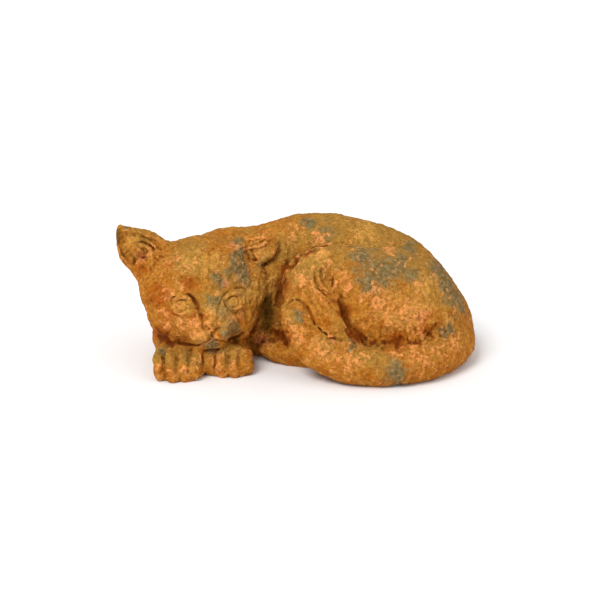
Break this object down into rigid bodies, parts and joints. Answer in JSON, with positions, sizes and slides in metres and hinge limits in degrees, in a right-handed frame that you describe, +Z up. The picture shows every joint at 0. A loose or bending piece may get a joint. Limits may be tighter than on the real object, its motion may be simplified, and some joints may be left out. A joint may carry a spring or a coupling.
{
  "type": "cat figurine",
  "caption": "Hollow fired-clay figurine of a cat curled up asleep, chin on its forepaws and tail brought round in front, resting on a flat underside.",
  "frame": {"origin": "middle of the footprint, on the surface that the figurine stands on", "axes": "+X from the head to the rump, along the figurine; +Y towards the cat's back; +Z up"},
  "size_m": [0.3219, 0.1728, 0.1261],
  "materials": {
    "weathered_terracotta": "matt fired clay with a worn rust and ochre patina, chips and mineral bloom",
    "bare_terracotta": "matt bare fired clay"
  },
  "bodies": {
    "root": {"body_shell": "weathered_terracotta", "base_slab": "bare_terracotta", "head": "weathered_terracotta", "right_ear": "weathered_terracotta", "left_ear": "weathered_terracotta", "right_foreleg": "weathered_terracotta", "left_foreleg": "weathered_terracotta", "hind_leg": "weathered_terracotta", "hind_foot": "weathered_terracotta", "tail": "weathered_terracotta"}
  },
  "joints": []
}
